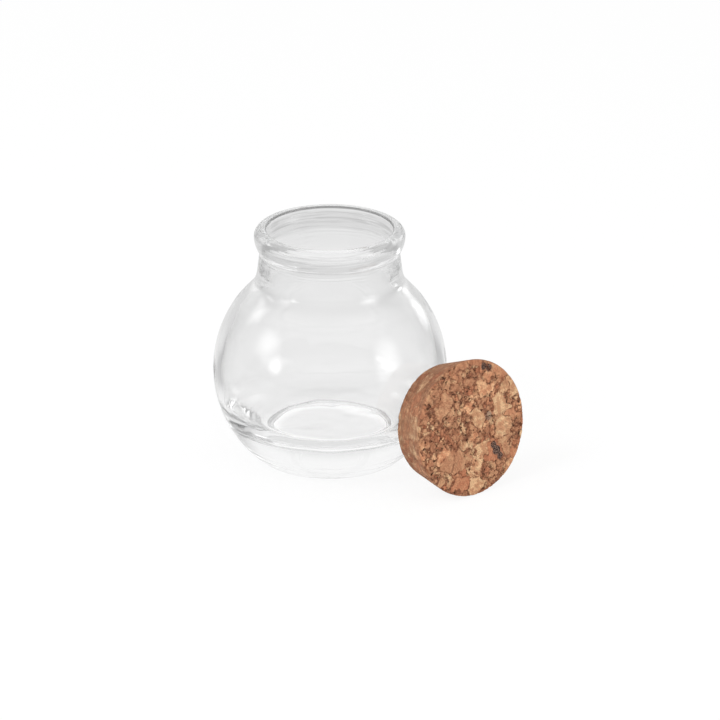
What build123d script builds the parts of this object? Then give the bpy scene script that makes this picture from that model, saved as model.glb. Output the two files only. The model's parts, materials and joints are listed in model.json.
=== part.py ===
"""A clear glass ball jar, and the tapered cork that stops its mouth, taken off.

Millimetres, +Z up. The origin is the middle of the ring that the jar stands on.
The jar is one blown piece: a ball on a heavy flat foot, with a short neck that ends in a
rounded lip. The cork is one turned plug of pressed cork grains. It stands on the edge of
its wide end, on the surface that the jar stands on, and its narrow end leans on the ball.
"""

import os
from math import atan2, cos, hypot, pi, radians, sin, sqrt, tan

from build123d import *

# Ball of the jar
ball_diameter = 62.0
ball_wall = 2.3

# Foot of the jar: the ball is cut flat, and stands on a ring round a shallow hollow
foot_diameter = 38.2
standing_ring_width = 3.0
standing_ring_round = 0.25
foot_hollow_depth = 2.0
foot_hollow_round = 1.4
heel_round = 2.2

# Floor inside the jar, a little higher in the middle, on glass much thicker than the wall
floor_height = 10.6
floor_crown = 0.4
floor_round = 9.5

# Mouth and neck: the neck widens a little down to the ball
mouth_diameter = 33.4
neck_wall = 1.75
neck_flare = 1.05
neck_height = 8.8
shoulder_round = 1.2
throat_round = 4.5

# Lip round the mouth: a bead that swells out of the neck and rounds over to a crisp inner edge
lip_wall = 3.2
lip_swell = 4.2
lip_round = 2.2
lip_edge_round = 0.4

# Cork, sized on the mouth: its narrow end goes in and its wide end stays out
cork_height = 12.0
cork_lead_in = 1.35
cork_overhang = 1.6
cork_edge_round = 0.5

# How the cork stands, in degrees: where it is as seen from the jar, where its wide face
# looks, and how far that face tips up; and the gap left between the cork and the ball
cork_bearing = -34.1
cork_facing = -50.0
cork_tip_up = 8.6
cork_gap = 0.15


def ball_rise(radius, out):
    """How far above its centre a ball of that radius is, that far out from its middle line."""
    return sqrt(radius**2 - out**2)


def dome_radius(width, rise):
    """The radius of a round that rises that much over that half width."""
    return (width**2 + rise**2) / (2 * rise)


def corner(out, height):
    """The corner of the section that is nearest to that place."""
    return vertices().sort_by_distance((out, height))[0]


# Jar, as half a section through its middle line
ball_radius = ball_diameter / 2
inner_radius = ball_radius - ball_wall
foot_radius = foot_diameter / 2
hollow_radius = foot_radius - standing_ring_width
mouth_radius = mouth_diameter / 2
neck_top_radius = mouth_radius + neck_wall
neck_foot_radius = neck_top_radius + neck_flare
lip_radius = mouth_radius + lip_wall
lip_top_radius = lip_radius - lip_round

ball_centre_height = ball_rise(ball_radius, foot_radius)
floor_radius = ball_rise(inner_radius, ball_centre_height - floor_height)
throat_height = ball_centre_height + ball_rise(inner_radius, mouth_radius)
shoulder_height = ball_centre_height + ball_rise(ball_radius, neck_foot_radius)
lip_foot_height = shoulder_height + neck_height
lip_widest_height = lip_foot_height + lip_swell
jar_height = lip_widest_height + lip_round

with BuildPart() as glass_jar:
    with BuildSketch(Plane.XZ):
        with BuildLine():
            underside = Line((0, foot_hollow_depth), (hollow_radius, foot_hollow_depth))
            hollow_side = Line(underside @ 1, (hollow_radius, 0))
            standing_ring = Line(hollow_side @ 1, (foot_radius, 0))
            ball = ThreePointArc(
                standing_ring @ 1, (ball_radius, ball_centre_height), (neck_foot_radius, shoulder_height)
            )
            neck = Line(ball @ 1, (neck_top_radius, lip_foot_height))
            swell = RadiusArc(
                neck @ 1,
                (lip_radius, lip_widest_height),
                -dome_radius(lip_swell, lip_radius - neck_top_radius),
            )
            lip_over = RadiusArc(swell @ 1, (lip_top_radius, jar_height), -lip_round)
            lip_top = Line(lip_over @ 1, (mouth_radius, jar_height))
            mouth_wall = Line(lip_top @ 1, (mouth_radius, throat_height))
            inner_ball = ThreePointArc(
                mouth_wall @ 1, (inner_radius, ball_centre_height), (floor_radius, floor_height)
            )
            floor = RadiusArc(
                inner_ball @ 1, (0, floor_height + floor_crown), -dome_radius(floor_radius, floor_crown)
            )
            Line(floor @ 1, underside @ 0)
        make_face()
        fillet(corner(foot_radius, 0), heel_round)
        fillet(corner(hollow_radius, 0), standing_ring_round)
        fillet(corner(hollow_radius, foot_hollow_depth), foot_hollow_round)
        fillet(corner(neck_foot_radius, shoulder_height), shoulder_round)
        fillet(corner(mouth_radius, jar_height), lip_edge_round)
        fillet(corner(mouth_radius, throat_height), throat_round)
        fillet(corner(floor_radius, floor_height), floor_round)
    revolve(axis=Axis.Z)
glass_jar.part.label = "glass_jar"

# Cork, as half a section through its own middle line, from the narrow end up to the wide end
narrow_radius = mouth_radius - cork_lead_in
wide_radius = mouth_radius + cork_overhang
taper = atan2(wide_radius - narrow_radius, cork_height)

# The round of each end's edge runs along a ring, this wide and this far from the cork's middle
wide_ring_radius = wide_radius - cork_edge_round * tan(pi / 4 + taper / 2)
narrow_ring_radius = narrow_radius - cork_edge_round * tan(pi / 4 - taper / 2)
ring_reach = cork_height / 2 - cork_edge_round

tip_up = radians(cork_tip_up)
facing_angle = radians(cork_facing)
bearing_angle = radians(cork_bearing)
facing = Vector(cos(tip_up) * cos(facing_angle), cos(tip_up) * sin(facing_angle), sin(tip_up))
sideways = Vector(-sin(facing_angle), cos(facing_angle), 0)
lowest_side = sideways.cross(facing)
bearing = Vector(cos(bearing_angle), sin(bearing_angle), 0)

# The lowest point of the wide end's edge is on the standing surface
cork_middle_height = cork_edge_round + wide_ring_radius * cos(tip_up) - ring_reach * sin(tip_up)


def cork_middle(reach):
    """The middle of the cork when it stands that far from the jar's middle line."""
    return bearing * reach + Vector(0, 0, cork_middle_height)


def ball_gap(reach):
    """The space between the ball and the edge of the cork's narrow end, at that reach."""
    to_ball = Vector(0, 0, ball_centre_height) - cork_middle(reach) + facing * ring_reach
    along = to_ball.dot(facing)
    across = sqrt(to_ball.length**2 - along**2)
    return hypot(along, max(across - narrow_ring_radius, 0)) - cork_edge_round - ball_radius


# Moved out from the jar by what the gap lacks, until it is right
cork_reach = ball_radius + wide_radius
for step in range(60):
    cork_reach += cork_gap - ball_gap(cork_reach)
cork_centre = cork_middle(cork_reach)

with BuildPart() as cork_stopper:
    with BuildSketch(Plane(cork_centre, x_dir=sideways, z_dir=lowest_side)):
        with BuildLine():
            Polyline(
                (0, -cork_height / 2),
                (narrow_radius, -cork_height / 2),
                (wide_radius, cork_height / 2),
                (0, cork_height / 2),
                close=True,
            )
        make_face()
        fillet(corner(narrow_radius, -cork_height / 2), cork_edge_round)
        fillet(corner(wide_radius, cork_height / 2), cork_edge_round)
    revolve(axis=Axis(cork_centre, facing))
cork_stopper.part.label = "cork_stopper"

os.makedirs("parts", exist_ok=True)
for piece in (glass_jar, cork_stopper):
    export_step(piece.part, f"parts/{piece.part.label}.step")

# The cork tips up over the lowest point of its wide end, on the middle of that edge's round
tipping_point = cork_centre + facing * ring_reach + lowest_side * wide_ring_radius
print("the cork tips over", tipping_point, "about", sideways)
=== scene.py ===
import json
from math import atan2, cos, pi, radians, sin, sqrt, tan

import bmesh
import bpy
from mathutils import Matrix, Vector, noise


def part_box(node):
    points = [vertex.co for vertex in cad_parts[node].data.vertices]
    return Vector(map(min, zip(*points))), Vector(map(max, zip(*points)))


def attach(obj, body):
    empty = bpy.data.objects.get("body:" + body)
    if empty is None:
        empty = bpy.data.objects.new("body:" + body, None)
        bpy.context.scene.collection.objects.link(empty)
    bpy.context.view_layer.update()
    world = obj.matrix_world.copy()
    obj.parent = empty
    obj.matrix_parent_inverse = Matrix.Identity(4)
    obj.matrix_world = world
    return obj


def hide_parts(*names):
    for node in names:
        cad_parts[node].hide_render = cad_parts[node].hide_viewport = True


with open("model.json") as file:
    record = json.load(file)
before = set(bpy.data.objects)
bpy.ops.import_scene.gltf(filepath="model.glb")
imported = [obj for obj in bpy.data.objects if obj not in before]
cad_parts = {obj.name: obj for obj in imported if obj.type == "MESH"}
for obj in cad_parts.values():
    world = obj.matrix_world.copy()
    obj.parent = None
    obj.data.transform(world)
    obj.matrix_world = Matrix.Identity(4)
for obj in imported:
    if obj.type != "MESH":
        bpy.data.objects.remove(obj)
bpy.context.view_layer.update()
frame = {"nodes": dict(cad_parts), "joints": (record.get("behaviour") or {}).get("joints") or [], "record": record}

scene = bpy.context.scene
print("frame loaded:", sorted(frame["nodes"]))


# Everything is in metres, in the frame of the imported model.
# The jar's middle line is Z and its foot stands on Z = 0.


# Node trees

noiseMiddle = (0.5, 0.5, 0.5)


def addNode(tree, kind, inputs=None, **settings):
    node = tree.nodes.new(kind)
    for name, value in settings.items():
        setattr(node, name, value)
    for name, value in (inputs or {}).items():
        plug(tree, node.inputs[name], value)
    return node


def plug(tree, socket, value):
    # a socket is linked, anything else is set as the plain value
    if isinstance(value, bpy.types.NodeSocket):
        tree.links.new(value, socket)
    else:
        socket.default_value = value


def calculate(tree, operation, first, second=0.0, clamp=False):
    node = addNode(tree, "ShaderNodeMath", operation=operation, use_clamp=clamp)
    plug(tree, node.inputs[0], first)
    plug(tree, node.inputs[1], second)
    return node.outputs[0]


def fade(tree, value, low, high, fromValue=0.0, toValue=1.0):
    # a soft step from fromValue to toValue as the given value goes from low to high
    node = addNode(tree, "ShaderNodeMapRange", {
        "Value": value, "From Min": low, "From Max": high, "To Min": fromValue, "To Max": toValue,
    }, interpolation_type="SMOOTHSTEP")
    return node.outputs[0]


def tint(tree, colour, share, other, blend="MIX"):
    # that share of another colour laid over the first, or multiplied into it
    node = addNode(tree, "ShaderNodeMix", data_type="RGBA", blend_type=blend)
    plug(tree, node.inputs["Factor"], share)
    plug(tree, node.inputs["A"], colour)
    plug(tree, node.inputs["B"], other)
    return node.outputs["Result"]


def vectorMath(tree, operation, *given):
    node = addNode(tree, "ShaderNodeVectorMath", dict(enumerate(given)), operation=operation)
    return node.outputs[0]


def lengthOf(tree, vector):
    node = addNode(tree, "ShaderNodeVectorMath", {0: vector}, operation="LENGTH")
    return node.outputs["Value"]


def alongAxis(tree, vector, axis):
    node = addNode(tree, "ShaderNodeVectorMath", {0: vector, 1: axis}, operation="DOT_PRODUCT")
    return node.outputs["Value"]


def scaled(tree, vector, amount):
    node = addNode(tree, "ShaderNodeVectorMath", {0: vector, "Scale": amount}, operation="SCALE")
    return node.outputs[0]


def axesOf(tree, vector):
    return addNode(tree, "ShaderNodeSeparateXYZ", {"Vector": vector}).outputs


def noiseOf(tree, vector, scale, detail):
    return addNode(tree, "ShaderNodeTexNoise", {"Vector": vector, "Scale": scale, "Detail": detail}).outputs


def newMaterial(name):
    material = bpy.data.materials.new(name)
    material.use_nodes = True
    material.node_tree.nodes.clear()
    return material, material.node_tree


# Meshes

mergeReach = 1e-6


def finishPiece(bm, name, material):
    bmesh.ops.remove_doubles(bm, verts=bm.verts, dist=mergeReach)
    bmesh.ops.recalc_face_normals(bm, faces=bm.faces)
    mesh = bpy.data.meshes.new(name)
    bm.to_mesh(mesh)
    bm.free()
    mesh.shade_smooth()
    mesh.materials.append(material)
    piece = bpy.data.objects.new(name, mesh)
    scene.collection.objects.link(piece)
    return piece


def lineTo(bm, start, out, height, step):
    # a straight run of the outline in short edges
    run = Vector((out, 0, height)) - start.co
    steps = max(1, round(run.length / step))
    for i in range(steps):
        start = bmesh.ops.extrude_vert_indiv(bm, verts=[start])["verts"][0]
        start.co += run / steps
    return start


def arcTo(bm, start, centre, angle, step):
    # a round run of the outline, turned about a centre; a plus angle turns from up to outwards
    steps = max(3, round(abs(angle) * (start.co - centre).length / step))
    made = bmesh.ops.spin(bm, geom=[start], cent=centre, axis=(0, 1, 0), angle=angle, steps=steps)
    return made["geom_last"][0]


def angleOf(place, centre):
    return atan2(place[0] - centre[0], place[2] - centre[2])


def soften(bm, out, height, reach, times):
    # rounds a corner of the outline over that reach
    corner = Vector((out, 0, height))
    near = [v for v in bm.verts if (v.co - corner).length < reach and v.co.x > reach / 100]
    for turn in range(times):
        bmesh.ops.smooth_vert(bm, verts=near, factor=0.5, use_axis_x=True, use_axis_y=True, use_axis_z=True)


# Glass jar

lowest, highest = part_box("glass_jar")
mouthMount = next(m for m in frame["record"]["mounts"] if m["name"] == "mouth")

jar = {
    "ballRadius": min(highest.x, highest.y, -lowest.x, -lowest.y),
    "height": highest.z,
    "mouthRadius": mouthMount["dims"]["r_mm"] / 1000,
    "ballWall": 0.0023,
    "footRadius": 0.0191,
    "ringWidth": 0.0030,        # flat ring that the jar stands on
    "hollowDepth": 0.0020,      # hollow inside that ring
    "hollowRound": 0.0014,
    "ringEdge": 0.0007,         # where its inner edge is softened, from the table up
    "floorHeight": 0.0106,
    "floorCrown": 0.0004,
    "floorRound": 0.0095,       # bowl between the floor and the ball
    "neckWall": 0.00175,
    "neckFlare": 0.00105,
    "lipWall": 0.0032,
    "lipSwell": 0.0042,         # from the neck out to the widest place
    "lipRound": 0.0022,         # from there over to the flat top
    "lipEdge": 0.0004,          # crisp inner edge
    "outlineStep": 0.0005,
    "turns": 224,
    "wave": 0.00010,            # unevenness of the inside, and more of it in the floor
    "floorWave": 0.00026,
    "waveLength": 0.013,
    "smallWave": 0.5,           # smaller waves in it, and how much finer they are
    "smallWaveScale": 2.3,
    "heelWave": 0.000028,       # faint rings that the mould leaves round the heel
    "heelStep": 0.0021,
    "heelDrift": 1.2,           # how far they stray, and how soon
    "heelDriftScale": 0.6,
    "heelTop": 0.0085,
}


softCorners = [
    # corner of the outline, how far round it the glass is softened, and how many times
    ("ring", 0.0018, 10),
    ("heel", 0.0040, 5),
    ("shoulder", 0.0030, 3),
    ("lip", 0.0008, 1),
    ("throat", 0.0080, 30),
    ("floor", 0.0025, 8),
]


def domeRadius(width, rise):
    return (width ** 2 + rise ** 2) / (2 * rise)


def outlineOfJar(bm, inside):
    # half the section, from the middle of the underside round to the middle of the inner floor
    step = jar["outlineStep"]
    radius, foot, mouth = jar["ballRadius"], jar["footRadius"], jar["mouthRadius"]
    hollow = foot - jar["ringWidth"]
    neckTop = mouth + jar["neckWall"]
    neckFoot = neckTop + jar["neckFlare"]
    lip = mouth + jar["lipWall"]
    lipWidest = jar["height"] - jar["lipRound"]
    lipFoot = lipWidest - jar["lipSwell"]
    centre = Vector((0, 0, sqrt(radius ** 2 - foot ** 2)))
    shoulder = centre.z + sqrt(radius ** 2 - neckFoot ** 2)
    inner = radius - jar["ballWall"]
    throat = centre.z + sqrt(inner ** 2 - mouth ** 2)
    bowlCentre = Vector((0, 0, jar["floorHeight"] + jar["floorRound"]))
    bowlCentre.x = sqrt((inner - jar["floorRound"]) ** 2 - (centre.z - bowlCentre.z) ** 2)

    at = bm.verts.new((0, 0, jar["hollowDepth"]))
    at = lineTo(bm, at, hollow - jar["hollowRound"], jar["hollowDepth"], step)
    roundCentre = Vector((hollow - jar["hollowRound"], 0, jar["hollowDepth"] - jar["hollowRound"]))
    at = arcTo(bm, at, roundCentre, pi / 2, step / 2)
    at = lineTo(bm, at, hollow, 0, step / 2)
    at = lineTo(bm, at, foot, 0, step)
    at = arcTo(bm, at, centre, angleOf((neckFoot, 0, shoulder), centre) - angleOf(at.co, centre), step)
    at = lineTo(bm, at, neckTop, lipFoot, step)
    swell = domeRadius(jar["lipSwell"], lip - neckTop)
    swellCentre = Vector((lip - swell, 0, lipWidest))
    at = arcTo(bm, at, swellCentre, pi / 2 - angleOf(at.co, swellCentre), step)
    at = arcTo(bm, at, Vector((lip - jar["lipRound"], 0, lipWidest)), -pi / 2, step / 2)
    at = lineTo(bm, at, mouth + jar["lipEdge"], jar["height"], step)
    at = arcTo(bm, at, Vector((mouth + jar["lipEdge"], 0, jar["height"] - jar["lipEdge"])), -pi / 2, step / 4)
    outer = set(bm.verts)
    at = lineTo(bm, at, mouth, throat, step)
    at = arcTo(bm, at, centre, angleOf(bowlCentre, centre) - angleOf(at.co, centre), step)
    at = arcTo(bm, at, bowlCentre, pi - angleOf(at.co, bowlCentre), step)
    dome = domeRadius(bowlCentre.x, jar["floorCrown"])
    domeCentre = Vector((0, 0, jar["floorHeight"] + jar["floorCrown"] - dome))
    at = arcTo(bm, at, domeCentre, -angleOf(at.co, domeCentre), step)
    for v in bm.verts:
        v[inside] = 0.0 if v in outer else 1.0

    corners = {
        "ring": (hollow, jar["ringEdge"]),
        "heel": (foot, 0),
        "shoulder": (neckFoot, shoulder),
        "lip": (neckTop, lipFoot),
        "throat": (mouth, throat),
        "floor": (bowlCentre.x, jar["floorHeight"]),
    }
    for name, reach, times in softCorners:
        soften(bm, *corners[name], reach, times)


def buildJar(material):
    bm = bmesh.new()
    inside = bm.verts.layers.float.new("inside")
    outlineOfJar(bm, inside)
    bmesh.ops.spin(
        bm, geom=bm.verts[:] + bm.edges[:], cent=(0, 0, 0), axis=(0, 0, 1),
        angle=2 * pi, steps=jar["turns"], use_merge=True,
    )
    bmesh.ops.remove_doubles(bm, verts=bm.verts, dist=mergeReach)
    bmesh.ops.recalc_face_normals(bm, faces=bm.faces)
    bm.normal_update()
    # the mould shapes the outside, and the inside is left a little wavy
    top = jar["height"] - jar["lipRound"] - jar["lipSwell"]
    for v in bm.verts:
        if v[inside]:
            share = min(1, max(0, (top - v.co.z) / jar["waveLength"]))
            low = min(1, max(0, 2 - v.co.z / jar["floorHeight"]))
            at = v.co / jar["waveLength"]
            swing = noise.noise(at) + jar["smallWave"] * noise.noise(at * jar["smallWaveScale"])
            v.co += v.normal * (jar["wave"] + jar["floorWave"] * low) * swing * share
        elif v.co.xy.length > jar["footRadius"] and v.co.z < jar["heelTop"]:
            share = sin(pi * v.co.z / jar["heelTop"]) ** 2
            drift = noise.noise(v.co * jar["heelDriftScale"] / jar["heelStep"])
            turned = 2 * pi * v.co.z / jar["heelStep"] + jar["heelDrift"] * drift
            v.co += v.normal * jar["heelWave"] * sin(turned) * share
    return finishPiece(bm, "jarGlass", material)


glassFinish = {
    "clear": (0.987, 0.987, 0.987, 1),
    "refraction": 1.5,
    "rippleScale": 90.0,        # soft unevenness all over
    "rippleStrength": 0.05,
    "rippleDepth": 0.001,
    "ringScale": 1800.0,        # fine rings that the finishing tool leaves round the lip and neck
    "ringDrift": 0.04,          # how much they change on their way round
    "ringDepth": 0.0001,
    "ringFoot": 0.004,          # they start this far below the lip
    "ringEnd": (0.0022, 0.0008),    # and end between these depths below the top
    "lineFoot": 0.001,          # some of them get faint dark lines of painted shade on the lip
    "lineTones": (0.54, 0.66),
    "lineShare": 0.34,
    "paintedLineShade": (0.4, 0.4, 0.4, 1),
    "edgeOut": 0.0001,          # the crisp inner edge of the lip, set off from the mouth's wall and from the top, gets a dark line of painted shade
    "edgeDown": 0.0003,
    "edgeWidth": (0.0002, 0.0005),
    "paintedEdgeShade": (0.16, 0.16, 0.16, 1),
    "facingBlend": 0.3,         # light that lamps send through it, face on and edge on
    "throughFace": (0.95, 0.95, 0.95, 1),
    "throughEdge": (0.6, 0.6, 0.6, 1),
    "depthColour": (0.515, 0.522, 0.52, 1),
    "depthDensity": 5.0,
}


def lipRings(tree, place):
    # fine rings round the lip and neck, the painted shade lines on some of them, and how far each place is from
    # the crisp inner edge
    height, up = jar["height"], axesOf(tree, place)["Z"]
    flat = vectorMath(tree, "MULTIPLY", place, (1, 1, 0))
    out = lengthOf(tree, flat)
    lifted = addNode(tree, "ShaderNodeCombineXYZ", {"Z": calculate(tree, "SUBTRACT", up, out)}).outputs[0]
    drawn = vectorMath(tree, "ADD", scaled(tree, flat, glassFinish["ringDrift"]), lifted)
    rings = noiseOf(tree, drawn, glassFinish["ringScale"], 1.0)["Fac"]

    lipFoot = height - jar["lipRound"] - jar["lipSwell"]
    onLip = fade(tree, up, lipFoot, lipFoot + glassFinish["lineFoot"])
    lines = calculate(tree, "MULTIPLY", fade(tree, rings, *glassFinish["lineTones"]), onLip)
    low, high = glassFinish["ringEnd"]
    rings = calculate(tree, "MULTIPLY", rings, fade(tree, up, lipFoot - glassFinish["ringFoot"], lipFoot))
    rings = calculate(tree, "MULTIPLY", rings, fade(tree, up, height - low, height - high, 1.0, 0.0))

    fromEdge = calculate(tree, "SUBTRACT", out, jar["mouthRadius"] + glassFinish["edgeOut"])
    fromTop = calculate(tree, "SUBTRACT", up, height - glassFinish["edgeDown"])
    edge = lengthOf(tree, addNode(tree, "ShaderNodeCombineXYZ", {"X": fromEdge, "Y": fromTop}).outputs[0])
    return rings, lines, edge


def glassMaterial():
    material, tree = newMaterial("clearGlass")
    place = addNode(tree, "ShaderNodeTexCoord").outputs["Object"]
    rings, lines, edge = lipRings(tree, place)
    bump = addNode(tree, "ShaderNodeBump", {
        "Height": noiseOf(tree, place, glassFinish["rippleScale"], 1.0)["Fac"],
        "Strength": glassFinish["rippleStrength"], "Distance": glassFinish["rippleDepth"],
    })
    bump = addNode(tree, "ShaderNodeBump", {
        "Height": rings, "Normal": bump.outputs["Normal"],
        "Strength": 1.0, "Distance": glassFinish["ringDepth"],
    })
    # thin dark lines of painted shade go on some rings and on the inner edge of the lip
    lines = calculate(tree, "MULTIPLY", lines, glassFinish["lineShare"])
    clear = tint(tree, glassFinish["clear"], lines, glassFinish["paintedLineShade"])
    # painted shade: a dark line along the inner edge of the lip
    onPaintedEdge = fade(tree, edge, *glassFinish["edgeWidth"], 1.0, 0.0)
    clear = tint(tree, clear, onPaintedEdge, glassFinish["paintedEdgeShade"])
    surface = addNode(tree, "ShaderNodeBsdfPrincipled", {
        "Base Color": clear, "Roughness": 0.0, "IOR": glassFinish["refraction"], "Transmission Weight": 1.0,
        "Normal": bump.outputs["Normal"],
    })
    # lamps shine through the glass, less so where it is seen edge on
    rays = addNode(tree, "ShaderNodeLightPath")
    facing = addNode(tree, "ShaderNodeLayerWeight", {"Blend": glassFinish["facingBlend"]}).outputs["Facing"]
    passed = tint(tree, glassFinish["throughFace"], facing, glassFinish["throughEdge"])
    through = addNode(tree, "ShaderNodeBsdfTransparent", {"Color": passed})
    mix = addNode(tree, "ShaderNodeMixShader", {
        0: rays.outputs["Is Shadow Ray"], 1: surface.outputs[0], 2: through.outputs[0],
    })
    # thick glass swallows a little light
    depth = addNode(tree, "ShaderNodeVolumeAbsorption", {
        "Color": glassFinish["depthColour"], "Density": glassFinish["depthDensity"],
    })
    addNode(tree, "ShaderNodeOutputMaterial", {"Surface": mix.outputs[0], "Volume": depth.outputs[0]})
    return material


jarPiece = buildJar(glassMaterial())
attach(jarPiece, "jar")
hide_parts("glass_jar")
print("jar:", len(jarPiece.data.polygons), "faces")


# Cork

tipJoint = next(j for j in frame["joints"] if j["name"] == "cork_tip")

cork = {
    "height": 0.012,
    "wideRadius": jar["mouthRadius"] + 0.0016,      # stays out of the mouth
    "narrowRadius": jar["mouthRadius"] - 0.00135,   # goes in
    "edgeRound": 0.0005,
    "edgeSegments": 4,
    "segments": 180,
    "voxel": 0.00024,           # faces as small as this carry the relief
    "shrink": 0.997,            # a hair smaller, so the uneven surface stays inside the plain one
    "relief": 0.00022,          # how deep the cracks go
}

grains = {
    "bigSize": 0.0048,                                  # grains of three sizes
    "smallSize": 0.0026,
    "crumbSize": 0.0015,
    "bigShare": 0.39,                                   # how many big and small ones there are
    "smallShare": 0.55,
    "bigTones": (0.30, 0.95),                           # big ones are never the darkest
    "ragged": [(900.0, 0.0007), (3200.0, 0.0003)],      # every edge is uneven: noise scale and shift
    "bent": [(380.0, 0.0030), (1400.0, 0.0010)],        # grains are bent as well, crumbs aren't
    "crackWidth": (0.00005, 0.00021),                   # cracks between grains, closed in places
    "crackPatches": (520.0, 0.32, 0.52),
    "pitWidth": (0.00012, 0.00040),                     # pits in some of the cracks
    "pitPatches": (1300.0, 0.55, 0.62),
    "pitLoss": 0.7,                                     # how much of a pit is lost beside a big grain
    "sideRelief": (0.5, 0.9, 0.3),                      # from the smooth side to the rough ends
    "toneRelief": 0.5,                                  # how uneven the grains stand
    "pitRelief": 2.6,                                   # how deep the pits go, in cracks
}

barkBits = [
    # bits of bark pressed in with the grains: across and up from the middle of the wide end, and how big
    (0.0062, 0.0153, 0.0012),
    (0.0078, 0.0145, 0.0012),
    (0.0070, -0.0064, 0.0012),
    (0.0078, -0.0080, 0.0015),
    (0.0088, -0.0098, 0.0012),
]

greyBits = [(0.0061, 0.0018, 0.0014)]

grainTones = [
    # from the darkest grains to the palest
    (0.00, (0.34, 0.147, 0.077, 1)),
    (0.12, (0.39, 0.175, 0.093, 1)),
    (0.45, (0.45, 0.219, 0.118, 1)),
    (0.80, (0.52, 0.279, 0.150, 1)),
    (0.93, (0.58, 0.335, 0.185, 1)),
    (1.00, (0.66, 0.418, 0.235, 1)),
]


def corkFrame():
    # the cork's own axes and middle, from the edge that it tips over
    sideways = Vector(tipJoint["axis"]).normalized()
    tipUp = radians(tipJoint["range_deg"][1] - 90)
    level = sideways.cross(Vector((0, 0, 1)))
    facing = level * cos(tipUp) + Vector((0, 0, sin(tipUp)))
    taper = atan2(cork["wideRadius"] - cork["narrowRadius"], cork["height"])
    ringRadius = cork["wideRadius"] - cork["edgeRound"] * tan(pi / 4 + taper / 2)
    ringReach = cork["height"] / 2 - cork["edgeRound"]
    middle = Vector(tipJoint["pos_m"]) - facing * ringReach - sideways.cross(facing) * ringRadius
    turn = Matrix((sideways, facing.cross(sideways), facing)).transposed().to_4x4()
    return Matrix.Translation(middle) @ turn, facing


def movedPlace(tree, vector, scale, amount):
    # the same place, shifted unevenly
    shift = vectorMath(tree, "SUBTRACT", noiseOf(tree, vector, scale, 1.0)["Color"], noiseMiddle)
    return vectorMath(tree, "MULTIPLY_ADD", shift, (amount,) * 3, vector)


def cells(tree, vector, size):
    # a random draw for each cell, and how far each place is from its cell's edge
    given = {"Vector": vector, "Scale": 1 / size}
    draw = addNode(tree, "ShaderNodeTexVoronoi", given, feature="F1")
    edge = addNode(tree, "ShaderNodeTexVoronoi", given, feature="DISTANCE_TO_EDGE")
    return axesOf(tree, draw.outputs["Color"]), calculate(tree, "MULTIPLY", edge.outputs["Distance"], size)


def choose(tree, which, first, second):
    # the first value where which is 0, the second where it is 1
    node = addNode(tree, "ShaderNodeMix", {"Factor": which, 2: first, 3: second}, data_type="FLOAT")
    return node.outputs[0]


def grainPattern(tree, place):
    # grains in the round: big ones here and there, smaller ones between them, and crumbs in some of the gaps
    ragged = place
    for scale, amount in grains["ragged"]:
        ragged = movedPlace(tree, ragged, scale, amount)
    bent = ragged
    for scale, amount in grains["bent"]:
        bent = movedPlace(tree, bent, scale, amount)
    big, bigEdge = cells(tree, bent, grains["bigSize"])
    small, smallEdge = cells(tree, bent, grains["smallSize"])
    crumb, crumbEdge = cells(tree, ragged, grains["crumbSize"])
    smallEdge = calculate(tree, "MINIMUM", smallEdge, bigEdge)
    crumbEdge = calculate(tree, "MINIMUM", crumbEdge, smallEdge)
    isBig = calculate(tree, "LESS_THAN", big[0], grains["bigShare"])
    isSmall = calculate(tree, "LESS_THAN", small[0], grains["smallShare"])

    bigTone = fade(tree, big[1], 0.0, 1.0, *grains["bigTones"])
    tone = choose(tree, isBig, choose(tree, isSmall, crumb[1], small[1]), bigTone)
    hue = choose(tree, isBig, choose(tree, isSmall, crumb[2], small[2]), big[2])
    edge = choose(tree, isBig, choose(tree, isSmall, crumbEdge, smallEdge), bigEdge)

    scale, low, high = grains["crackPatches"]
    patchy = fade(tree, noiseOf(tree, place, scale, 2.0)["Fac"], low, high)
    crack = calculate(tree, "MULTIPLY", fade(tree, edge, *grains["crackWidth"], 1.0, 0.0), patchy)
    scale, low, high = grains["pitPatches"]
    patchy = fade(tree, noiseOf(tree, place, scale, 2.0)["Fac"], low, high)
    pit = calculate(tree, "MULTIPLY", fade(tree, edge, *grains["pitWidth"], 1.0, 0.0), patchy)
    kept = calculate(tree, "SUBTRACT", 1.0, calculate(tree, "MULTIPLY", isBig, grains["pitLoss"]))
    pit = calculate(tree, "MULTIPLY", pit, kept)
    return {"tone": tone, "hue": hue, "crack": crack, "pit": pit, "ragged": ragged}


def reliefNodes(facing):
    # pushes the cracks and pits in, and lets each grain stand a little higher or lower
    tree = bpy.data.node_groups.new("corkRelief", "GeometryNodeTree")
    tree.interface.new_socket("Geometry", in_out="INPUT", socket_type="NodeSocketGeometry")
    tree.interface.new_socket("Geometry", in_out="OUTPUT", socket_type="NodeSocketGeometry")
    entry = addNode(tree, "NodeGroupInput").outputs[0]
    place = addNode(tree, "GeometryNodeInputPosition").outputs[0]
    normal = addNode(tree, "GeometryNodeInputNormal").outputs[0]
    pattern = grainPattern(tree, place)
    turned = calculate(tree, "ABSOLUTE", alongAxis(tree, normal, facing))
    onFace = fade(tree, turned, *grains["sideRelief"], 1.0)
    height = calculate(tree, "SUBTRACT", pattern["tone"], 1.0)
    height = calculate(tree, "MULTIPLY", height, grains["toneRelief"])
    height = calculate(tree, "SUBTRACT", height, pattern["crack"])
    pitDepth = calculate(tree, "MULTIPLY", pattern["pit"], grains["pitRelief"])
    height = calculate(tree, "SUBTRACT", height, pitDepth)
    height = calculate(tree, "MULTIPLY", calculate(tree, "MULTIPLY", height, onFace), cork["relief"])
    kept = addNode(tree, "GeometryNodeStoreNamedAttribute", {
        "Geometry": entry, "Name": "face", "Value": onFace,
    }, data_type="FLOAT", domain="POINT")
    offset = scaled(tree, normal, height)
    moved = addNode(tree, "GeometryNodeSetPosition", {"Geometry": kept.outputs[0], "Offset": offset})
    addNode(tree, "NodeGroupOutput", {0: moved.outputs[0]})
    return tree


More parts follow.
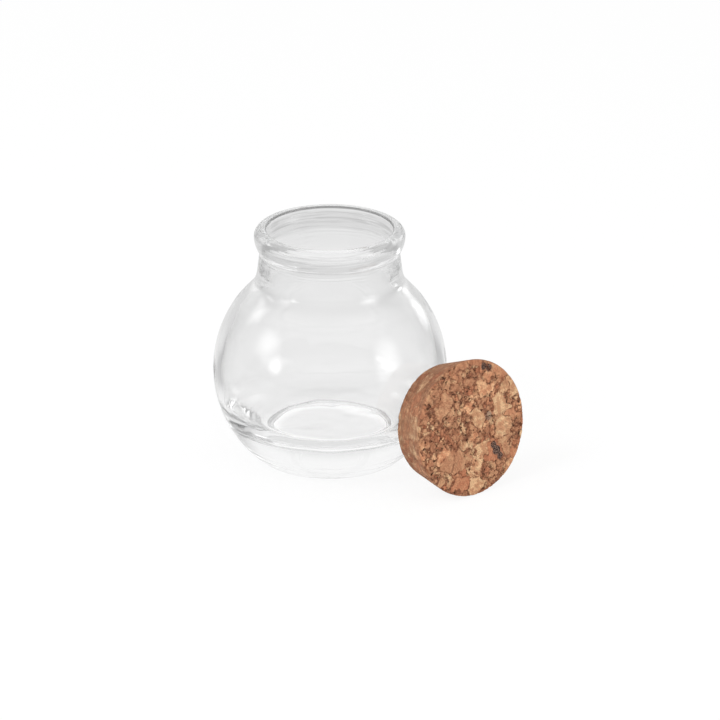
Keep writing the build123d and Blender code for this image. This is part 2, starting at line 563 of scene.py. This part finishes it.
def bake(piece):
    # makes the piece's modifiers part of its mesh
    shown = piece.evaluated_get(bpy.context.evaluated_depsgraph_get())
    mesh = bpy.data.meshes.new_from_object(shown)
    piece.modifiers.clear()
    piece.data = mesh


def buildCork(material):
    place, facing = corkFrame()
    height, edgeRound = cork["height"], cork["edgeRound"]
    bm = bmesh.new()
    bmesh.ops.create_cone(
        bm, cap_ends=True, cap_tris=False, segments=cork["segments"],
        radius1=cork["narrowRadius"], radius2=cork["wideRadius"], depth=height,
    )
    rims = [e for e in bm.edges if abs(e.verts[0].co.z - e.verts[1].co.z) < edgeRound]
    bmesh.ops.bevel(
        bm, geom=rims, offset=edgeRound, affect="EDGES",
        segments=cork["edgeSegments"], profile=0.5, material=-1,
    )
    piece = finishPiece(bm, "corkPlug", material)
    remesh = piece.modifiers.new("evenFaces", "REMESH")
    remesh.mode = "VOXEL"
    remesh.voxel_size = cork["voxel"]
    bake(piece)
    piece.data.transform(place @ Matrix.Scale(cork["shrink"], 4))
    relief = piece.modifiers.new("relief", "NODES")
    relief.node_group = reliefNodes(facing)
    bake(piece)
    piece.data.shade_smooth()
    return piece


corkFinish = {
    "roughness": 0.85,
    "gloss": 0.25,
    "wander": (650.0, 0.30, 0.70, 0.32),            # the tone drifts within a grain
    "redTint": (1.07, 0.90, 0.87, 1),               # some grains are redder
    "redFrom": 0.45,
    "streakScale": 3200.0,                          # fine streaks, drawn out along each grain's own axis
    "streakLean": 0.4,
    "streakTurn": 9.0,
    "streakDraw": (1.0, 1.0, 0.18),
    "streakTones": (0.30, 0.68, 0.74, 1.14),
    "speckScale": 5200.0,
    "speckTones": (0.58, 0.72, 0.0, 0.7),
    "speckColour": (0.20, 0.085, 0.045, 1),
    "speckBump": 0.5,
    "bitEdge": 0.75,                                # bits of bark are solid out to this share, then fade
    "greyColour": (0.27, 0.20, 0.15, 1),
    "greyShare": 0.7,
    "huskColours": ((0.035, 0.018, 0.014, 1), (0.32, 0.20, 0.15, 1)),
    "huskTones": (0.54, 0.62),
    "gapShare": 0.85,                               # cracks are dark on the rough ends, and pits there are painted near black, painted shade in the holes
    "crackColour": (0.17, 0.066, 0.037, 1),
    "pitPaintedShade": (0.045, 0.018, 0.011, 1),
    "sideTint": (0.84, 0.84, 0.86, 1),              # the cut side is a little darker
    "cutScale": 2400.0,                             # lines round it from the cutter
    "cutDraw": 0.14,
    "cutTones": (0.46, 0.64),
    "cutShare": 0.75,
    "cutColour": (0.19, 0.092, 0.056, 1),
    # pale paint for the cork where the glass mirrors it, painted light in place of its reflection
    "mirrorPaintedPale": (0.8, 0.8, 0.8, 1),
    "bump": 0.4,
    "bumpDepth": 0.00015,
}


def bitMask(tree, ragged, bits):
    # where the listed bits show on the wide end
    place, facing = corkFrame()
    mask = 0.0
    for across, up, radius in bits:
        middle = place @ Vector((across, up, cork["height"] / 2))
        away = lengthOf(tree, vectorMath(tree, "SUBTRACT", ragged, middle))
        bit = fade(tree, away, corkFinish["bitEdge"] * radius, radius, 1.0, 0.0)
        mask = calculate(tree, "MAXIMUM", mask, bit)
    return mask


def grainColours(tree, pattern):
    # grains from reddish brown to tan, a few of them pale
    scale, low, high, reach = corkFinish["wander"]
    wander = fade(tree, noiseOf(tree, pattern["ragged"], scale, 3.0)["Fac"], low, high, -reach, reach)
    ramp = addNode(tree, "ShaderNodeValToRGB", {"Fac": calculate(tree, "ADD", pattern["tone"], wander)})
    stops = ramp.color_ramp.elements
    for stop, (position, colour) in zip((stops[0], stops[1]), (grainTones[0], grainTones[-1])):
        stop.position, stop.color = position, colour
    for position, colour in grainTones[1:-1]:
        stops.new(position).color = colour
    redder = fade(tree, pattern["hue"], corkFinish["redFrom"], 1.0)
    return tint(tree, ramp.outputs["Color"], redder, corkFinish["redTint"], "MULTIPLY")


def grainStreaks(tree, pattern):
    # fine streaks, turned another way in each grain
    axis = addNode(tree, "ShaderNodeCombineXYZ", {
        "X": pattern["hue"], "Y": pattern["tone"], "Z": corkFinish["streakLean"],
    }).outputs[0]
    turned = addNode(tree, "ShaderNodeVectorRotate", {
        "Vector": pattern["ragged"], "Axis": axis,
        "Angle": calculate(tree, "MULTIPLY", pattern["hue"], corkFinish["streakTurn"]),
    }).outputs[0]
    drawn = addNode(tree, "ShaderNodeMapping", {
        "Vector": turned, "Scale": corkFinish["streakDraw"],
    }).outputs[0]
    return noiseOf(tree, drawn, corkFinish["streakScale"], 2.0)["Fac"]


def cutterLines(tree, ragged):
    # noise drawn out round the cork's middle line
    place, facing = corkFrame()
    share = corkFinish["cutDraw"]
    along = scaled(tree, facing, alongAxis(tree, ragged, facing))
    drawn = vectorMath(tree, "MULTIPLY_ADD", ragged, (share,) * 3, along)
    return fade(tree, noiseOf(tree, drawn, corkFinish["cutScale"], 3.0)["Fac"], *corkFinish["cutTones"])


def corkMaterial():
    material, tree = newMaterial("pressedCork")
    place = addNode(tree, "ShaderNodeTexCoord").outputs["Object"]
    pattern = grainPattern(tree, place)
    onFace = addNode(tree, "ShaderNodeAttribute", attribute_name="face").outputs["Fac"]
    colour = grainColours(tree, pattern)

    # each grain has its own fine streaks, and specks over them
    streak = grainStreaks(tree, pattern)
    colour = tint(tree, colour, 1.0, fade(tree, streak, *corkFinish["streakTones"]), "MULTIPLY")
    speck = noiseOf(tree, place, corkFinish["speckScale"], 1.0)["Fac"]
    colour = tint(tree, colour, fade(tree, speck, *corkFinish["speckTones"]), corkFinish["speckColour"])

    grey = calculate(tree, "MULTIPLY", bitMask(tree, pattern["ragged"], greyBits), corkFinish["greyShare"])
    colour = tint(tree, colour, grey, corkFinish["greyColour"])
    dark, pale = corkFinish["huskColours"]
    husk = tint(tree, dark, fade(tree, speck, *corkFinish["huskTones"]), pale)
    colour = tint(tree, colour, bitMask(tree, pattern["ragged"], barkBits), husk)
    onGrains = calculate(tree, "MULTIPLY", onFace, corkFinish["gapShare"])
    crack = calculate(tree, "MULTIPLY", pattern["crack"], onGrains)
    colour = tint(tree, colour, crack, corkFinish["crackColour"])
    # the pits are painted near black, the shade that falls into them
    pit = calculate(tree, "MULTIPLY", pattern["pit"], onGrains)
    colour = tint(tree, colour, pit, corkFinish["pitPaintedShade"])

    # the side is cut smooth, with fine lines round it from the cutter
    onSide = fade(tree, onFace, grains["sideRelief"][2], 1.0, 1.0, 0.0)
    colour = tint(tree, colour, onSide, corkFinish["sideTint"], "MULTIPLY")
    share = calculate(tree, "MULTIPLY", onSide, corkFinish["cutShare"])
    lines = calculate(tree, "MULTIPLY", cutterLines(tree, pattern["ragged"]), share)
    colour = tint(tree, colour, lines, corkFinish["cutColour"])

    # where the thick lip would mirror the cork, the cork is painted pale, painted light in place of its
    # reflection; only what is straight behind the glass shows it in its own colour
    rays = addNode(tree, "ShaderNodeLightPath").outputs
    mirrored = calculate(tree, "SUBTRACT", rays["Ray Depth"], rays["Transmission Depth"], clamp=True)
    mirrored = calculate(tree, "MULTIPLY", mirrored, rays["Is Transmission Ray"])
    colour = tint(tree, colour, mirrored, corkFinish["mirrorPaintedPale"])

    fine = calculate(tree, "ADD", streak, calculate(tree, "MULTIPLY", speck, corkFinish["speckBump"]))
    bump = addNode(tree, "ShaderNodeBump", {
        "Height": fine, "Strength": corkFinish["bump"], "Distance": corkFinish["bumpDepth"],
    })
    surface = addNode(tree, "ShaderNodeBsdfPrincipled", {
        "Base Color": colour, "Roughness": corkFinish["roughness"], "Specular IOR Level": corkFinish["gloss"],
        "Normal": bump.outputs["Normal"],
    })
    addNode(tree, "ShaderNodeOutputMaterial", {"Surface": surface.outputs[0]})
    return material


corkPiece = buildCork(corkMaterial())
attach(corkPiece, "cork")
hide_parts("cork_stopper")
print("cork:", len(corkPiece.data.polygons), "faces")


# Table, light and camera

studio = {
    "tableSize": 4.0,
    "tableEdges": 96,
    "tableDrop": 0.0001,        # just under the jar's foot
    "paper": (0.92, 0.92, 0.92, 1),
    "whiteShare": 0.88,         # how much of the table shows as plain light, the rest takes shadows
    "plainLight": 0.8,          # what the room gives to everything that isn't glass or gloss
    "nearLight": 0.90,          # the table as the glass shows it, near the jar and far from it
    "farLight": 0.68,
    "nearReach": 0.05,
    "farReach": 0.20,
    "tableSides": 0.6,          # the table to the left and right is darker, from this far out
    "sideWay": (0.55, 0.8),
    "sideReach": (0.05, 0.08),
    "frontShade": 0.2,          # the camera's side of the table is darker, from a little way off the jar
    "frontReach": (-0.5, -0.2),
    "ringReach": 0.0160,        # light that the jar gathers in a ring round its foot
    "ringSpread": 0.0030,
    "ringLight": 0.24,
    "horizonLight": 0.72,       # the room as the glass shows it, from the horizon up
    "topLight": 1.08,
    "horizonWay": (0.05, 0.38),
    "roomFront": 0.6,           # darker in front and at the sides
    "roomFrontWay": (-0.9, -0.1),
    "roomSides": 0.5,
    "roomSideWay": (0.55, 0.85),
    "windowAhead": 0.2,         # keeps a window from showing on the far side of the room too
    "raggedScale": 7.0,         # unevenness of the windows' edges
    "ragged": 0.09,
}

windows = [
    # soft lit windows that the glass mirrors: middle direction, half width, half height, light
    ((-0.757, 0.411, 0.510), 0.22, 0.36, 3.0),
    ((-0.878, -0.231, 0.420), 0.40, 0.40, 2.6),
    ((-0.830, -0.519, 0.209), 0.17, 0.18, 5.0),
    ((0.860, -0.400, 0.240), 0.42, 0.62, 3.0),
    ((0.620, 0.770, 0.130), 0.24, 0.30, 2.5),
]

lamps = [
    # name, direction from the jar, distance, size, watts
    ("leftLamp", (-0.60, -0.45, 0.65), 1.0, 0.4, 5.0),
    ("rightLamp", (0.75, -0.55, 0.45), 1.0, 0.4, 2.5),
]

camera = {
    "aim": (0.00797, 0.0, 0.02628),
    "distance": 1.2,
    "elevation": 21.9,
    "lens": 226.0,
    "sensor": 36.0,
    "near": 0.01,
    "far": 20.0,
}

lightBounces = 128      # light runs far along inside thick glass


def glassRays(tree):
    # rays by way of glass or gloss, and rays straight from the camera
    rays = addNode(tree, "ShaderNodeLightPath").outputs
    inGlass = calculate(tree, "MAXIMUM", rays["Is Glossy Ray"], rays["Is Transmission Ray"])
    return inGlass, rays["Is Camera Ray"]


def tableLight(tree):
    # a light grey that falls off with distance, as the glass shows the table
    place = addNode(tree, "ShaderNodeTexCoord").outputs["Object"]
    axes, out = axesOf(tree, place), lengthOf(tree, place)
    light = fade(tree, out, studio["nearReach"], studio["farReach"], studio["nearLight"], studio["farLight"])
    offRing = calculate(tree, "ABSOLUTE", calculate(tree, "SUBTRACT", out, studio["ringReach"]))
    gathered = fade(tree, offRing, 0.0, studio["ringSpread"], studio["ringLight"], 0.0)
    light = calculate(tree, "ADD", light, gathered)
    aside = calculate(tree, "DIVIDE", calculate(tree, "ABSOLUTE", axes["X"]), out)
    sides = fade(tree, aside, *studio["sideWay"])
    sides = calculate(tree, "MULTIPLY", sides, fade(tree, out, *studio["sideReach"]))
    shade = fade(tree, sides, 0.0, 1.0, 1.0, studio["tableSides"])
    front = fade(tree, axes["Y"], *studio["frontReach"], studio["frontShade"], 1.0)
    return calculate(tree, "MULTIPLY", light, calculate(tree, "MULTIPLY", shade, front))


def buildTable():
    # white to the camera, and less light than that to what the glass shows of it
    material, tree = newMaterial("whiteTable")
    inGlass, direct = glassRays(tree)
    strength = calculate(tree, "MAXIMUM", tableLight(tree), direct)
    paper = addNode(tree, "ShaderNodeBsdfDiffuse", {"Color": studio["paper"]})
    white = addNode(tree, "ShaderNodeEmission", {"Color": (1, 1, 1, 1), "Strength": strength})
    share = calculate(tree, "MULTIPLY", calculate(tree, "MAXIMUM", inGlass, direct), studio["whiteShare"])
    mix = addNode(tree, "ShaderNodeMixShader", {0: share, 1: paper.outputs[0], 2: white.outputs[0]})
    addNode(tree, "ShaderNodeOutputMaterial", {"Surface": mix.outputs[0]})
    bm = bmesh.new()
    bmesh.ops.create_circle(bm, cap_ends=True, segments=studio["tableEdges"], radius=studio["tableSize"] / 2)
    bmesh.ops.translate(bm, verts=bm.verts, vec=(0, 0, -studio["tableDrop"]))
    table = finishPiece(bm, "table", material)


def windowLight(tree, direction, middle, halfWidth, halfHeight, light):
    # a soft lit rectangle round one direction of the room
    away = Vector(middle).normalized()
    across = Vector((-away.y, away.x, 0)).normalized()
    aside = calculate(tree, "ABSOLUTE", alongAxis(tree, direction, across))
    above = calculate(tree, "ABSOLUTE", alongAxis(tree, direction, away.cross(across)))
    wide = fade(tree, aside, 0.0, halfWidth, 1.0, 0.0)
    high = fade(tree, above, 0.0, halfHeight, 1.0, 0.0)
    ahead = fade(tree, alongAxis(tree, direction, away), 0.0, studio["windowAhead"])
    shown = calculate(tree, "MULTIPLY", calculate(tree, "MULTIPLY", wide, high), ahead)
    return calculate(tree, "MULTIPLY", shown, light)


def roomLight(tree):
    # the room as the glass shows it: brighter upwards, with the windows in it
    direction = addNode(tree, "ShaderNodeTexCoord").outputs["Generated"]
    axes = axesOf(tree, direction)
    room = fade(tree, axes["Z"], *studio["horizonWay"], studio["horizonLight"], studio["topLight"])
    front = fade(tree, axes["Y"], *studio["roomFrontWay"], studio["roomFront"], 1.0)
    aside = calculate(tree, "ABSOLUTE", axes["X"])
    sides = fade(tree, aside, *studio["roomSideWay"], 1.0, studio["roomSides"])
    room = calculate(tree, "MULTIPLY", calculate(tree, "MULTIPLY", room, front), sides)
    uneven = noiseOf(tree, direction, studio["raggedScale"], 3.0)["Color"]
    shift = vectorMath(tree, "SUBTRACT", uneven, noiseMiddle)
    bent = vectorMath(tree, "MULTIPLY_ADD", shift, (studio["ragged"],) * 3, direction)
    for window in windows:
        room = calculate(tree, "MAXIMUM", room, windowLight(tree, bent, *window))
    return room


def buildWorld():
    world = bpy.data.worlds.new("studio")
    scene.world = world
    world.use_nodes = True
    tree = world.node_tree
    tree.nodes.clear()
    inGlass, direct = glassRays(tree)
    shown = choose(tree, inGlass, studio["plainLight"], roomLight(tree))
    strength = calculate(tree, "MAXIMUM", shown, direct)
    sky = addNode(tree, "ShaderNodeBackground", {"Color": (1, 1, 1, 1), "Strength": strength})
    addNode(tree, "ShaderNodeOutputWorld", {"Surface": sky.outputs[0]})


def buildLamps():
    # soft light on the cork and the table; the glass mirrors the windows instead
    for name, direction, distance, size, watts in lamps:
        lamp = bpy.data.lights.new(name, "AREA")
        lamp.shape = "SQUARE"
        lamp.size = size
        lamp.energy = watts
        box = bpy.data.objects.new(name, lamp)
        away = Vector(direction).normalized()
        box.location = Vector((0, 0, jar["ballRadius"])) + away * distance
        box.rotation_euler = away.to_track_quat("Z", "Y").to_euler()
        box.visible_glossy = False
        box.visible_transmission = False
        scene.collection.objects.link(box)


def buildCamera():
    data = bpy.data.cameras.new("camera")
    data.lens = camera["lens"]
    data.sensor_width = camera["sensor"]
    data.clip_start = camera["near"]
    data.clip_end = camera["far"]
    eye = bpy.data.objects.new("camera", data)
    tilt = radians(camera["elevation"])
    away = Vector((0, -cos(tilt), sin(tilt)))
    eye.location = Vector(camera["aim"]) + away * camera["distance"]
    eye.rotation_euler = away.to_track_quat("Z", "Y").to_euler()
    scene.collection.objects.link(eye)
    scene.camera = eye


buildTable()
buildWorld()
buildLamps()
buildCamera()
scene.view_settings.view_transform = "Standard"
scene.cycles.max_bounces = lightBounces
scene.cycles.transmission_bounces = lightBounces
scene.cycles.glossy_bounces = lightBounces
print("studio ready")
